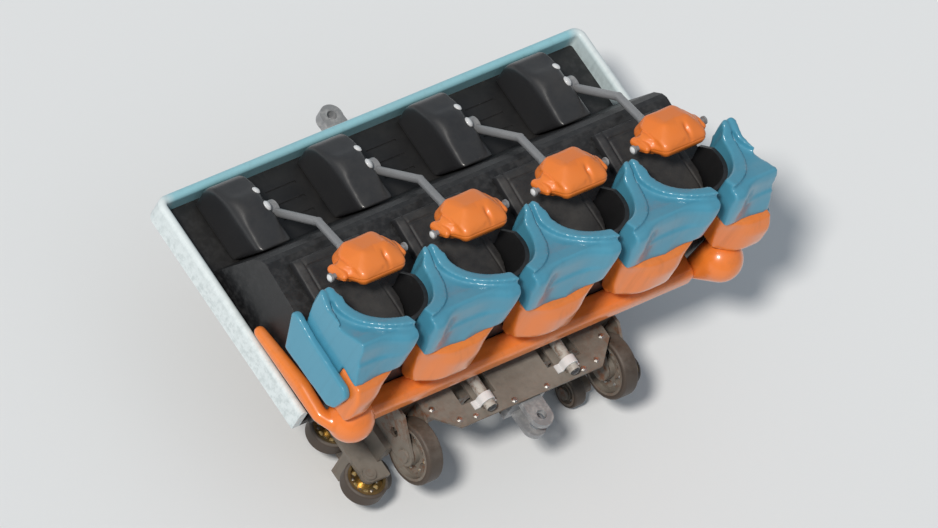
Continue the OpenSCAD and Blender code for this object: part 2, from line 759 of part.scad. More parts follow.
module restraint_arm(i) {
  elbow = arm_point(i, arm_x, arm_len * 0.45, 62);
  wrist = wrist_point(i);
  tip = arm_point(i, 0, arm_len, 30);
  color(GREY) difference() {
    union() {
      bar_x(seat_x(i) + arm_x - arm_w / 2, arm_w, pivot_y, pivot_z, pivot_r + 28);
      rod(arm_point(i, arm_x, 10), elbow, tube_r);
      translate(elbow) sphere(r = tube_r + joint_bulge);
      rod(elbow, wrist, tube_r);
      translate(wrist) sphere(r = tube_r + joint_bulge);
      rod(wrist, tip, tube_r);
      // Cross bar that carries the pad and its two ears
      bar_x(seat_x(i) - bar_half, 2 * bar_half, bar_at[0], bar_at[1], bar_r);
      for (side = [-1, 1])
        bar_x(seat_x(i) + side * (bar_half - disc_t / 2) - disc_t / 2, disc_t, bar_at[0], bar_at[1], bar_r + 8);
    }
    bar_x(seat_x(i) + arm_x - arm_w, 2 * arm_w, pivot_y, pivot_z, pivot_r + run_gap);
  }
}

// Padded shell over the rider's lap, domed, with an ear at each end of the cross bar
module lap_pad(i) {
  color(ORANGE) difference() {
    union() {
      hull() {
        for (side = [-1, 1]) {
          translate(arm_point(i, side * (pad_w / 2 - 66), arm_len + pad_len * 0.33, 24)) sphere(r = 50, $fn = hull_fn);
          translate(arm_point(i, side * (hand_x - 34), arm_len - 16, 32)) sphere(r = 50, $fn = hull_fn);
          translate(arm_point(i, side * (pad_w / 2 - 74), arm_len - pad_len * 0.34, 46)) sphere(r = 44, $fn = hull_fn);
          translate(arm_point(i, side * (pad_w / 2 - 92), arm_len - 48, 96)) sphere(r = 46, $fn = hull_fn);
          translate(arm_point(i, side * (pad_w / 2 - 100), arm_len + 46, 88)) sphere(r = 46, $fn = hull_fn);
        }
      }
      for (side = [-1, 1]) hull() for (along = [-46, 34])
        translate(arm_point(i, side * hand_x, arm_len + along, 36 - along / 5)) sphere(r = ear_r, $fn = 16);
    }
    // Room for the arm and its cross bar
    bar_x(seat_x(i) - 2 * pad_w, 4 * pad_w, bar_at[0], bar_at[1], bar_r + seam);
    rod(wrist_point(i), arm_point(i, 0, arm_len + 1, 30), tube_r + seam);
  }
}

chassis();
front_coupler();
rear_coupler();
brake_fin();
carrier(-1);  // carrier_left
carrier(1);  // carrier_right
floor_pan();
floor_rim();
leg_pods();
seat(1);  // seat_1
seat(2);  // seat_2
seat(3);  // seat_3
seat(4);  // seat_4
seat_cushions();
wing_shell(1);  // wing_shell_1
wing_shell(2);  // wing_shell_2
wing_shell(3);  // wing_shell_3
wing_shell(4);  // wing_shell_4
wing_shell(5);  // wing_shell_5
lower_shells();
rear_beam();
side_panel(-1);  // side_panel_left
side_panel(1);  // side_panel_right
corner(-1);  // corner_left
corner(1);  // corner_right
restraint_arm(1);  // restraint_arm_1
restraint_arm(2);  // restraint_arm_2
restraint_arm(3);  // restraint_arm_3
restraint_arm(4);  // restraint_arm_4
lap_pad(1);  // lap_pad_1
lap_pad(2);  // lap_pad_2
lap_pad(3);  // lap_pad_3
lap_pad(4);  // lap_pad_4
road_wheel(-1, 1);  // road_wheel_left_front
road_wheel(-1, -1);  // road_wheel_left_rear
road_wheel(1, 1);  // road_wheel_right_front
road_wheel(1, -1);  // road_wheel_right_rear
guide_wheel(-1, 1);  // guide_wheel_left_front
guide_wheel(-1, -1);  // guide_wheel_left_rear
guide_wheel(1, 1);  // guide_wheel_right_front
guide_wheel(1, -1);  // guide_wheel_right_rear
upstop_wheel(-1, 1);  // upstop_wheel_left_front
upstop_wheel(-1, -1);  // upstop_wheel_left_rear
upstop_wheel(1, 1);  // upstop_wheel_right_front
upstop_wheel(1, -1);  // upstop_wheel_right_rear
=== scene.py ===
# %% [markdown]
# # A roller coaster car with one row of four seats
# The car comes in as a fixed frame of named solids. This lesson gives it its looks: rounded mouldings in
# teal, orange and black, soft lap pads and cushions, painted steel and running wheels.

# %% Load the frame
import math
import bmesh
import bpy
import numpy as np
from mathutils import Matrix, Vector


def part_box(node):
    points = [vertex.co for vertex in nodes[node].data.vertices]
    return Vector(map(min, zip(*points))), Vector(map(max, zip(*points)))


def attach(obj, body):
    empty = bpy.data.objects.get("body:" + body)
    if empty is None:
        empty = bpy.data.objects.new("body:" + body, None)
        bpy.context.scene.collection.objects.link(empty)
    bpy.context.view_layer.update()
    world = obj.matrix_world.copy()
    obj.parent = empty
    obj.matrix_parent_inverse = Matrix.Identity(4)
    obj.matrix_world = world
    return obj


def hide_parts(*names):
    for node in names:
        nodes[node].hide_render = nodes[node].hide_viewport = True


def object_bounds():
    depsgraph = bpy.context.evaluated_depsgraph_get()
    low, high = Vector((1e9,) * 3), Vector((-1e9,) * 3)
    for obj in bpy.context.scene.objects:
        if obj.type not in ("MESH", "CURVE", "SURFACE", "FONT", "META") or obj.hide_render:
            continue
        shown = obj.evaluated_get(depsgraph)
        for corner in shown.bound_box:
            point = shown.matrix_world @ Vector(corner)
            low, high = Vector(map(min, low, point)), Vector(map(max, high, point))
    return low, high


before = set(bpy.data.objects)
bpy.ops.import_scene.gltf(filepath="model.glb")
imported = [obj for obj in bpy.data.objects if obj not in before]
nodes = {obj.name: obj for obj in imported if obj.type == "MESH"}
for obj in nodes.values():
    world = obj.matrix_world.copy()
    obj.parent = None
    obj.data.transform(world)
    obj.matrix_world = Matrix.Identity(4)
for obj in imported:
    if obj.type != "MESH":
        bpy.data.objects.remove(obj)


def plain_box():
    """The model's box as plain lists of numbers."""
    return [list(map(float, corner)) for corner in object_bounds()]


def new_object(name, data):
    """An object with the given mesh, camera or lamp, in the scene."""
    made = bpy.data.objects.new(name, data)
    bpy.context.scene.collection.objects.link(made)
    return made


def mesh_of(name, verts, faces):
    """A mesh from vertex places and faces."""
    mesh = bpy.data.meshes.new(name)
    mesh.from_pydata(verts, [], faces)
    mesh.update()
    return mesh


cad_box = plain_box()
print("nodes:", len(nodes), "box:", [[round(v, 3) for v in c] for c in cad_box])

# %% [markdown]
# The photograph was taken from high behind the car, on its left, through a long lens. A near camera would
# spread the row apart, so this one stands 45 m off and parallel edges stay nearly parallel. Its three
# directions are given in the car's own frame, and it is aimed at the middle of what it sees.

# %% Camera
VIEW_RIGHT = Vector((0.766, -0.544, 0.349)).normalized()
VIEW_BACK = Vector((-0.558, -0.284, 0.782)).normalized()
VIEW_UP = VIEW_BACK.cross(VIEW_RIGHT).normalized()
FRAME_ASPECT = 938 / 528
CAMERA_FAR = 45.0
MARGIN = 1.10
points = np.array([v.co for o in nodes.values() for v in o.data.vertices])
across = points @ np.array(VIEW_RIGHT)
upward = points @ np.array(VIEW_UP)
wide = float(across.max() - across.min())
high = float(upward.max() - upward.min())
view_width = MARGIN * max(wide, high * FRAME_ASPECT)
aim = (
    VIEW_RIGHT * float(across.max() + across.min()) / 2
    + VIEW_UP * float(upward.max() + upward.min()) / 2
)
aim += VIEW_BACK * float((points @ np.array(VIEW_BACK)).mean())

camera_data = bpy.data.cameras.new("camera")
camera_data.lens = CAMERA_FAR * camera_data.sensor_width / view_width
camera_data.clip_end = 200
camera = new_object("camera", camera_data)
camera.location = aim + VIEW_BACK * CAMERA_FAR
turn = np.array([VIEW_RIGHT, VIEW_UP, VIEW_BACK]).T
camera.rotation_euler = Matrix(turn.tolist()).to_euler()
bpy.context.scene.camera = camera
print("seen width and height:", round(wide, 2), round(high, 2), "lens:", round(camera_data.lens))

# %% [markdown]
# Strong sun falls on the car from its left, and the sky fills the shadows. Area lamps would need a place and
# a size of their own. One soft sun and an even pale world light every part alike, at a level where a colour
# renders about as it is written.

# %% Light
SUN_FROM = Vector((-0.62, -0.12, 0.78)).normalized()
sun_data = bpy.data.lights.new("sun", "SUN")
sun_data.energy = 2.5
sun_data.angle = math.radians(7)
sun_data.color = (1.0, 0.96, 0.9)
sun = new_object("sun", sun_data)
sun.rotation_euler = SUN_FROM.to_track_quat("Z", "Y").to_euler()

world = bpy.data.worlds.new("sky")
bpy.context.scene.world = world
world.use_nodes = True
sky = world.node_tree.nodes["Background"]
sky.inputs["Color"].default_value = (0.80, 0.90, 1.0, 1.0)
sky.inputs["Strength"].default_value = 0.36
bpy.context.scene.view_settings.view_transform = "Standard"
print("sun:", sun_data.energy, "sky:", round(sky.inputs["Strength"].default_value, 2))

# %% [markdown]
# The floor is a stage and no part of the car. A backdrop with a curve would put a bright line behind the
# rim, so it is one plain pale sheet. It keeps the car's shadow, which shows how high each part stands.

# %% Floor
FLOOR_HALF = 40.0
FLOOR_CORNERS = ((-1, -1), (1, -1), (1, 1), (-1, 1))
floor_z = cad_box[0][2] - 0.001
floor_places = [(x * FLOOR_HALF, y * FLOOR_HALF, floor_z) for x, y in FLOOR_CORNERS]
floor = new_object("floor", mesh_of("floor", floor_places, [(0, 1, 2, 3)]))
floor_paint = bpy.data.materials.new("pale_floor")
floor_paint.use_nodes = True
floor_shader = floor_paint.node_tree.nodes["Principled BSDF"]
floor_shader.inputs["Base Color"].default_value = (0.80, 0.81, 0.82, 1)
floor_shader.inputs["Roughness"].default_value = 0.9
floor.data.materials.append(floor_paint)
print("floor at", round(floor_z, 3))

# %% [markdown]
# Several finishes share the same effects: grain, wear along edges, dust on top, and slow changes of colour.
# They could be wired anew in each material. As node groups with named inputs and outputs they are made once,
# and every material sets only its own values. Small helpers make the groups and wire them.


# %% Helpers for node groups
def new_group(name, inputs, outputs):
    """A shader node group with typed sockets; gives the group and its two end nodes."""
    group = bpy.data.node_groups.new(name, "ShaderNodeTree")
    kinds = {"colour": "NodeSocketColor", "value": "NodeSocketFloat"}
    for label, kind, start in inputs:
        socket = group.interface.new_socket(name=label, in_out="INPUT", socket_type=kinds[kind])
        socket.default_value = start
    for label, kind in outputs:
        group.interface.new_socket(name=label, in_out="OUTPUT", socket_type=kinds[kind])
    print("group", name, "inputs:", len(inputs), "outputs:", len(outputs))
    return group, group.nodes.new("NodeGroupInput"), group.nodes.new("NodeGroupOutput")


def add(tree, kind, links=None, **settings):
    """A new node with its settings; links maps an input's name or number to a socket or a value."""
    made = tree.nodes.new(kind)
    for key, value in settings.items():
        setattr(made, key, value)
    for key, value in (links or {}).items():
        if isinstance(value, bpy.types.NodeSocket):
            tree.links.new(value, made.inputs[key])
        else:
            made.inputs[key].default_value = value
    return made


def sums(tree, operation, a, b=0.0, clamp=False):
    """One Math node's result."""
    return add(tree, "ShaderNodeMath", {0: a, 1: b}, operation=operation, use_clamp=clamp).outputs[0]


def blend_colours(tree, factor, a, b):
    """A Mix node for two colours."""
    return add(tree, "ShaderNodeMix", {0: factor, 6: a, 7: b}, data_type="RGBA").outputs[2]


def ramp(tree, value, low, high):
    """0 below low, 1 above high, even between them."""
    return add(tree, "ShaderNodeMapRange", {"Value": value, "From Min": low, "From Max": high}).outputs[0]


# %% [markdown]
# Moulded plastic and skinned foam have a fine pebbled grain from the mould. Modelling it would take millions
# of faces, and an image would need unwrapping. Rounded cells of a millimetre or two with a little noise give
# that height anywhere on a piece.

# %% Grain group
grain, g_in, g_out = new_group(
    "moulded_grain",
    [("Cells per metre", "value", 700.0), ("Roughness of cells", "value", 0.5)],
    [("Height", "value")],
)
where = add(grain, "ShaderNodeTexCoord").outputs["Object"]
cells = add(grain, "ShaderNodeTexVoronoi", {"Vector": where, "Scale": g_in.outputs[0]}, feature="SMOOTH_F1")
fine = add(grain, "ShaderNodeTexNoise", {"Vector": where, "Scale": g_in.outputs[0], "Detail": 3.0})
uneven = sums(grain, "MULTIPLY", fine.outputs[0], g_in.outputs[1])
grain.links.new(sums(grain, "ADD", cells.outputs["Distance"], uneven), g_out.inputs[0])

# %% [markdown]
# Paint wears first along edges, in patches. Painting a mask by hand would tie it to one mesh. The difference
# between the true normal and a rounded one marks an edge on any mesh, and noise breaks the band up.

# %% Edge wear group
wear, w_in, w_out = new_group(
    "edge_wear",
    [
        ("Paint", "colour", (0.5, 0.5, 0.5, 1)),
        ("Bare", "colour", (0.3, 0.3, 0.3, 1)),
        ("Amount", "value", 0.5),
        ("Patches per metre", "value", 30.0),
    ],
    [("Colour", "colour"), ("Mask", "value")],
)
where = add(wear, "ShaderNodeTexCoord").outputs["Object"]
surface = add(wear, "ShaderNodeNewGeometry")
rounded = add(wear, "ShaderNodeBevel", {"Radius": 0.004}, samples=4)
both_normals = {0: rounded.outputs[0], 1: surface.outputs["Normal"]}
same = add(wear, "ShaderNodeVectorMath", both_normals, operation="DOT_PRODUCT").outputs["Value"]
corner_mask = sums(wear, "MULTIPLY", sums(wear, "SUBTRACT", 1.0, same), 9.0, True)
edges = sums(wear, "MAXIMUM", corner_mask, ramp(wear, surface.outputs["Pointiness"], 0.53, 0.60))
patches = add(
    wear, "ShaderNodeTexNoise", {"Vector": where, "Scale": w_in.outputs[3], "Detail": 6.0, "Roughness": 0.65}
)
broken = ramp(wear, patches.outputs[0], 0.45, 0.62)
mask = sums(wear, "MULTIPLY", sums(wear, "MULTIPLY", edges, broken), w_in.outputs[2], True)
wear.links.new(blend_colours(wear, mask, w_in.outputs[0], w_in.outputs[1]), w_out.inputs[0])
wear.links.new(mask, w_out.inputs[1])

# %% [markdown]
# Dust settles on what faces up, thicker in some places, paler and rougher than the finish below it. The
# upward part of the normal says where it lies, so no mask has to be painted.

# %% Dust group
dust, d_in, d_out = new_group(
    "settled_dust",
    [
        ("Colour", "colour", (0.5, 0.5, 0.5, 1)),
        ("Dust", "colour", (0.36, 0.33, 0.28, 1)),
        ("Amount", "value", 0.3),
        ("Clouds per metre", "value", 5.0),
    ],
    [("Colour", "colour"), ("Mask", "value")],
)
where = add(dust, "ShaderNodeTexCoord").outputs["Object"]
faces = add(dust, "ShaderNodeSeparateXYZ", {0: add(dust, "ShaderNodeNewGeometry").outputs["Normal"]})
clouds = add(
    dust, "ShaderNodeTexNoise", {"Vector": where, "Scale": d_in.outputs[3], "Detail": 8.0, "Roughness": 0.7}
)
upward_part = ramp(dust, faces.outputs["Z"], 0.35, 0.95)
thick = ramp(dust, clouds.outputs[0], 0.38, 0.68)
settled = sums(dust, "MULTIPLY", sums(dust, "MULTIPLY", upward_part, thick), d_in.outputs[2], True)
dust.links.new(blend_colours(dust, settled, d_in.outputs[0], d_in.outputs[1]), d_out.inputs[0])
dust.links.new(settled, d_out.inputs[1])

# %% [markdown]
# Sun and weather shift a colour slowly over a panel, and rain leaves faint streaks that run down. Wide noise
# gives the first, and noise stretched along Z the second.

# %% Weather group
weather, h_in, h_out = new_group(
    "sun_and_rain",
    [
        ("Colour", "colour", (0.5, 0.5, 0.5, 1)),
        ("Faded", "colour", (0.6, 0.6, 0.6, 1)),
        ("Streak", "colour", (0.1, 0.1, 0.1, 1)),
        ("Fade", "value", 0.5),
        ("Streaks", "value", 0.15),
    ],
    [("Colour", "colour"), ("Mask", "value")],
)
where = add(weather, "ShaderNodeTexCoord").outputs["Object"]
slow = add(weather, "ShaderNodeTexNoise", {"Vector": where, "Scale": 2.2, "Detail": 4.0})
fade = sums(weather, "MULTIPLY", ramp(weather, slow.outputs[0], 0.35, 0.7), h_in.outputs[3])
faded = blend_colours(weather, fade, h_in.outputs[0], h_in.outputs[1])
tall = add(weather, "ShaderNodeMapping", {"Vector": where, "Scale": (34.0, 34.0, 2.2)})
run = add(weather, "ShaderNodeTexNoise", {"Vector": tall.outputs[0], "Scale": 1.0, "Detail": 5.0})
streaked = sums(weather, "MULTIPLY", ramp(weather, run.outputs[0], 0.52, 0.75), h_in.outputs[4], True)
weather.links.new(blend_colours(weather, streaked, faded, h_in.outputs[2]), h_out.inputs[0])
weather.links.new(streaked, h_out.inputs[1])

# %% [markdown]
# Every finish is built the same way: weather, then wear, then dust on the colour, and grain under the gloss.
# Building each by hand would let them drift apart, so the recipe is one function with each finish's values.


# %% Recipe of a finish
DUST_COLOUR = (0.34, 0.31, 0.27, 1)
DUST_ROUGHENS = 0.5
WEAR_ROUGHENS = 0.25


def place(tree, group, links):
    """A shader node that holds a group."""
    return add(tree, "ShaderNodeGroup", links, node_tree=group)


def finish_of(
    name, colour, faded, bare, gloss, cells_per_m, grain_depth, wear_amount, dust_amount,
    metal=0.0, coat=0.0, streaks=0.12, fade_amount=0.5,
):
    """A material from the shared groups. A higher gloss number is a duller surface."""
    made = bpy.data.materials.new(name)
    made.use_nodes = True
    tree = made.node_tree
    shader = tree.nodes["Principled BSDF"]
    streak = tuple(c * 0.4 for c in colour[:3]) + (1,)
    aged = place(
        tree, weather,
        {"Colour": colour, "Faded": faded, "Streak": streak, "Fade": fade_amount, "Streaks": streaks},
    )
    worn = place(tree, wear, {"Paint": aged.outputs["Colour"], "Bare": bare, "Amount": wear_amount})
    dusty = place(tree, dust, {"Colour": worn.outputs["Colour"], "Dust": DUST_COLOUR, "Amount": dust_amount})
    tree.links.new(dusty.outputs["Colour"], shader.inputs["Base Color"])
    rough = sums(tree, "ADD", gloss, sums(tree, "MULTIPLY", dusty.outputs["Mask"], DUST_ROUGHENS))
    rough = sums(tree, "ADD", rough, sums(tree, "MULTIPLY", worn.outputs["Mask"], WEAR_ROUGHENS), True)
    tree.links.new(rough, shader.inputs["Roughness"])
    shader.inputs["Metallic"].default_value = metal
    shader.inputs["Coat Weight"].default_value = coat
    shader.inputs["Coat Roughness"].default_value = 0.12
    pebbles = place(tree, grain, {"Cells per metre": cells_per_m})
    bump = add(
        tree, "ShaderNodeBump", {"Height": pebbles.outputs["Height"], "Distance": grain_depth, "Strength": 0.6}
    )
    tree.links.new(bump.outputs[0], shader.inputs["Normal"])
    print("finish", name, "gloss", gloss)
    return made


# %% [markdown]
# The teal shells and the orange bowls are glass-reinforced plastic with a gel coat: glossy, a little faded on
# top, scuffed along the lips that serve as handholds. On the teal the lighter scuff colour on the lips is also
# painted sheen for the light that the lips catch. A clear coat over a satin base gives the two highlights of
# such a skin. The pads are foam with a skin of its own: duller, and with a coarser grain.

# %% Finishes of the outer mouldings
TEAL = (0.066, 0.290, 0.420, 1)
TEAL_FADED = (0.090, 0.345, 0.480, 1)
# The lighter scuff teal below is worn paint on the lips, and also a painted sheen there.
TEAL_SCUFF_AND_SHEEN = (0.30, 0.50, 0.56, 1)
ORANGE = (0.84, 0.205, 0.026, 1)
ORANGE_FADED = (0.88, 0.255, 0.042, 1)
ORANGE_SCUFF = (0.93, 0.45, 0.22, 1)
teal_gelcoat = finish_of(
    "teal_gelcoat", TEAL, TEAL_FADED, TEAL_SCUFF_AND_SHEEN, gloss=0.30, coat=0.35, wear_amount=0.35,
    dust_amount=0.07, cells_per_m=260.0, grain_depth=0.00012,
)
orange_gelcoat = finish_of(
    "orange_gelcoat", ORANGE, ORANGE_FADED, ORANGE_SCUFF, gloss=0.28, coat=0.5, wear_amount=0.35,
    dust_amount=0.12, streaks=0.2, cells_per_m=240.0, grain_depth=0.00012,
)
pad_foam = finish_of(
    "orange_skinned_foam", (0.84, 0.200, 0.026, 1), ORANGE_FADED, (0.60, 0.19, 0.05, 1), gloss=0.42, coat=0.15,
    wear_amount=0.3, dust_amount=0.05, streaks=0.0, cells_per_m=520.0, grain_depth=0.0004,
)

# %% [markdown]
# The leg pods and the seats are black plastic. The pods are polished by use, the seats stay duller and hold
# dust, and the cushions have a skin with a coarser grain. One black for all would melt them into a single
# shape, so each has its own level and gloss. The seats and the floor pan are a darker black than the pods,
# and that darker level is painted shade for the shade behind the pods and under the pads.

# %% Finishes of the black parts
BLACK = (0.020, 0.020, 0.022, 1)
BLACK_FADED = (0.036, 0.036, 0.038, 1)
BLACK_SCUFF = (0.09, 0.09, 0.095, 1)
pod_plastic = finish_of(
    "black_pod_plastic", BLACK, BLACK_FADED, BLACK_SCUFF, gloss=0.36, coat=0.25, wear_amount=0.5,
    dust_amount=0.06, streaks=0.05, cells_per_m=600.0, grain_depth=0.0003,
)
# The seats' black is darker than the pods': black plastic, with painted shade for the hollows behind the pods.
seat_plastic_and_painted_shade = finish_of(
    "black_seat_plastic", (0.010, 0.010, 0.011, 1), (0.017, 0.017, 0.018, 1), (0.05, 0.05, 0.052, 1), gloss=0.45,
    wear_amount=0.5, dust_amount=0.035, streaks=0.05, cells_per_m=520.0, grain_depth=0.0005,
)
cushion_skin = finish_of(
    "black_cushion_skin", (0.014, 0.014, 0.016, 1), (0.03, 0.03, 0.033, 1), (0.06, 0.06, 0.065, 1), gloss=0.55,
    wear_amount=0.2, dust_amount=0.12, streaks=0.0, cells_per_m=330.0, grain_depth=0.0009,
)

# %% [markdown]
# The chassis is brown-grey primer with rust at its edges, the couplers and arms are plain grey paint, the
# hubs of the guide wheels are brass, and bolts are bare steel. The same recipe serves for all of them, with
# the metals set to metallic.

# %% Finishes of the steel parts
chassis_paint = finish_of(
    "chassis_primer", (0.150, 0.128, 0.105, 1), (0.215, 0.190, 0.160, 1), (0.16, 0.065, 0.028, 1), gloss=0.55,
    wear_amount=0.9, dust_amount=0.5, streaks=0.3, cells_per_m=180.0, grain_depth=0.0003,
)
grey_paint = finish_of(
    "grey_arm_paint", (0.235, 0.240, 0.250, 1), (0.31, 0.31, 0.32, 1), (0.42, 0.42, 0.42, 1), gloss=0.36,
    metal=0.15, coat=0.1, wear_amount=0.8, dust_amount=0.2, streaks=0.1, cells_per_m=200.0, grain_depth=0.00008,
)
brace_paint = finish_of(
    "brace_paint", (0.46, 0.45, 0.41, 1), (0.55, 0.54, 0.50, 1), (0.16, 0.075, 0.035, 1), gloss=0.48,
    wear_amount=0.8, dust_amount=0.3, streaks=0.3, cells_per_m=220.0, grain_depth=0.0001,
)
bright_steel = finish_of(
    "bright_steel", (0.62, 0.61, 0.59, 1), (0.70, 0.69, 0.67, 1), (0.40, 0.38, 0.35, 1), gloss=0.28, metal=1.0,
    wear_amount=0.3, dust_amount=0.1, streaks=0.1, cells_per_m=900.0, grain_depth=0.00005,
)
fin_steel = finish_of(
    "fin_steel", (0.42, 0.41, 0.40, 1), (0.50, 0.49, 0.47, 1), (0.25, 0.14, 0.08, 1), gloss=0.40, metal=0.85,
    wear_amount=0.5, dust_amount=0.25, streaks=0.4, cells_per_m=500.0, grain_depth=0.0001,
)
# This white is real paint on the bar caps and the clamps, and on the pod caps it is a painted glint.
white_cap_and_glint = finish_of(
    "white_cap_and_glint", (0.78, 0.79, 0.80, 1), (0.70, 0.71, 0.72, 1), (0.45, 0.45, 0.45, 1), gloss=0.22, coat=0.3,
    wear_amount=0.3, dust_amount=0.1, streaks=0.1, cells_per_m=400.0, grain_depth=0.00005,
)
brass = finish_of(
    "hub_brass", (0.56, 0.40, 0.16, 1), (0.60, 0.47, 0.24, 1), (0.30, 0.20, 0.08, 1), gloss=0.34, metal=1.0,
    wear_amount=0.5, dust_amount=0.25, streaks=0.2, cells_per_m=500.0, grain_depth=0.0001,
)
tyre = finish_of(
    "wheel_tread", (0.050, 0.034, 0.024, 1), (0.085, 0.062, 0.046, 1), (0.13, 0.11, 0.09, 1), gloss=0.52,
    wear_amount=0.4, dust_amount=0.4, streaks=0.0, cells_per_m=420.0, grain_depth=0.0003,
)

# %% [markdown]
# The raised edge of the floor is pale blue paint in front, and at the two ends it is painted near white: a
# painted highlight for the sun that strikes the left end, mirrored at the right end. Two materials would meet
# in a hard line, so one paint changes its colour with the distance from the middle of the row.

# %% Finish of the floor's edge
pale_paint = finish_of(
    "pale_edge_paint", (0.42, 0.66, 0.70, 1), (0.66, 0.78, 0.80, 1), (0.30, 0.36, 0.36, 1), gloss=0.38,
    wear_amount=0.35, dust_amount=0.10, streaks=0.15, fade_amount=0.12, cells_per_m=160.0, grain_depth=0.00008,
)
rim_tree = pale_paint.node_tree
rim_where = add(rim_tree, "ShaderNodeSeparateXYZ", {0: add(rim_tree, "ShaderNodeTexCoord").outputs["Object"]})
near_end = ramp(rim_tree, sums(rim_tree, "ABSOLUTE", rim_where.outputs["X"]), 1.20, 1.27)
# The near-white colour at the ends is painted sunlight, a painted highlight of the sun on the edge's end.
sunlit_ends_painted = blend_colours(rim_tree, near_end, (0.30, 0.60, 0.68, 1), (0.74, 0.80, 0.81, 1))
aged_rim = next(n for n in rim_tree.nodes if n.type == "GROUP" and n.node_tree == weather)
rim_tree.links.new(sunlit_ends_painted, aged_rim.inputs["Colour"])
print("edge whitens from 1.20 to 1.27 m")

# %% [markdown]
# The car's large mouldings have no sharp edges: each was laid up in a mould with generous radii. They could
# be drawn afresh as subdivided cages, but the frame's solids already have the exact sizes. So a copy is
# remeshed into an even skin, which is then relaxed: its edges turn round, and its form and place stay.


# %% Helpers for meshes
def copy_of(node_name, piece_name):
    """A new object with a copy of a frame node's mesh, its vertices joined."""
    mesh = nodes[node_name].data.copy()
    mesh.materials.clear()
    work = bmesh.new()
    work.from_mesh(mesh)
    bmesh.ops.remove_doubles(work, verts=work.verts, dist=0.00002)
    work.to_mesh(mesh)
    work.free()
    return new_object(piece_name, mesh)


def add_skin(piece, voxel):
    """A modifier that rebuilds a piece as one even, closed skin."""
    skin = piece.modifiers.new("skin", "REMESH")
    skin.mode = "VOXEL"
    skin.voxel_size = voxel


def add_relax(piece, rounds, group=""):
    """A modifier that smooths a piece, or only its vertex group."""
    relax = piece.modifiers.new("relax", "SMOOTH")
    relax.factor = 0.5
    relax.iterations = rounds
    relax.vertex_group = group


def add_thin(piece, keep):
    """A modifier that keeps this share of a piece's faces."""
    thin = piece.modifiers.new("thin", "DECIMATE")
    thin.ratio = keep


def settle(piece):
    """Applies a piece's modifiers to its mesh."""
    bpy.context.view_layer.update()
    seen = piece.evaluated_get(bpy.context.evaluated_depsgraph_get())
    done = bpy.data.meshes.new_from_object(seen)
    piece.modifiers.clear()
    piece.data = done
    return piece


def vertex_array(mesh):
    """Vertex places as an array."""
    flat = np.zeros(len(mesh.vertices) * 3)
    mesh.vertices.foreach_get("co", flat)
    return flat.reshape(-1, 3)


def normal_array(mesh):
    """Vertex normals as an array."""
    return np.array([n.vector for n in mesh.vertex_normals])


def move_to(mesh, places):
    """Writes an array of vertex places back."""
    mesh.vertices.foreach_set("co", np.asarray(places, float).ravel())
    mesh.update()


def shade_smooth(piece):
    """Smooth shading on every face."""
    piece.data.polygons.foreach_set("use_smooth", [True] * len(piece.data.polygons))


# %% [markdown]
# Every large moulding goes through the same steps, so they are one function. An even skin has more faces on
# its flat stretches than they need, and a flat moulding stays smooth when half of them are taken away.


# %% Rounded copy of a moulding
def rounded_copy(node_name, piece_name, voxel, rounds, keep=0.5, shape=None):
    """An even skin over a frame node, moved by shape(places) if that is given, then relaxed and thinned out."""
    piece = copy_of(node_name, piece_name)
    add_skin(piece, voxel)
    settle(piece)
    if shape:
        move_to(piece.data, shape(vertex_array(piece.data)))
    add_relax(piece, rounds)
    if keep < 1:
        add_thin(piece, keep)
    shade_smooth(settle(piece))
    print(piece_name, "vertices:", len(piece.data.vertices))
    return piece


def dress(piece, material, slot_name, body, *replaced):
    """Gives a piece its material, lets it ride on a body and stand for frame nodes; slot_name is not used."""
    piece.data.materials.clear()
    piece.data.materials.append(material)
    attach(piece, body)
    if replaced:
        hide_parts(*replaced)


# %% [markdown]
# Five divider shells stand between and beside the seats. Two lips run along each, with a crease between
# them, and flow into the rear corners. Their backs are hollow between the corners. Sculpting the hollow by
# hand could not be repeated for five shells, so soft steps along each axis say how far a point moves.

# %% Divider shells
PITCH = 0.610
BACK_Y = -0.600
HOLLOW_HALF = 0.21
HOLLOW_DEPTH = 0.050
HOLLOW_DROP = 0.024


def eased(t):
    """A soft step from 0 at t = 0 to 1 at t = 1."""
    t = np.clip(t, 0, 1)
    return t * t * (3 - 2 * t)


def scooped(middle_x):
    """Hollows the back between the two rear corners, so that it falls steeply behind the ridge."""

    def shape(at):
        side = (at[:, 0] - middle_x) / HOLLOW_HALF
        behind = eased((BACK_Y + 0.06 - at[:, 1]) / 0.11)
        height = eased((at[:, 2] - 1.20) / 0.26)
        amount = behind * height * eased(1 - side * side)
        at[:, 1] += HOLLOW_DEPTH * amount
        at[:, 2] -= HOLLOW_DROP * amount
        return at

    return shape


for number in range(1, 6):
    node_name = f"wing_shell_{number}"
    shape = scooped((number - 3) * PITCH)
    shell = rounded_copy(node_name, f"divider_{number}", voxel=0.007, rounds=12, shape=shape)
    dress(shell, teal_gelcoat, "teal_paint", "car", node_name)

# %% [markdown]
# Below each divider hangs an orange bowl, full at the top and narrow at the beam. The frame's bowls are
# flat behind, so a soft swelling along their middle gives the belly that catches the light.

# %% Bowls
BELLY_HALF = 0.17
BELLY_DEPTH = 0.034


def bellied(at):
    """Swells each bowl's back towards its middle line, below the seam."""
    nearest = np.round(at[:, 0] / PITCH) * PITCH
    side = (at[:, 0] - nearest) / BELLY_HALF
    behind = eased((BACK_Y + 0.06 - at[:, 1]) / 0.06)
    height = eased((1.31 - at[:, 2]) / 0.09) * eased((at[:, 2] - 0.88) / 0.12)
    at[:, 1] -= BELLY_DEPTH * behind * height * (eased(1 - side * side) - 0.25)
    return at


bowls = rounded_copy("lower_shells", "bowls", voxel=0.008, rounds=18, shape=bellied)
dress(bowls, orange_gelcoat, "orange_paint", "car", "lower_shells")

# %% [markdown]
# The beam crosses the back of the floor and ends in two bulbs that run forward along the sides. A teal fin
# stands beside each end shell. Their frame solids have the right form, and rounding is all they need.

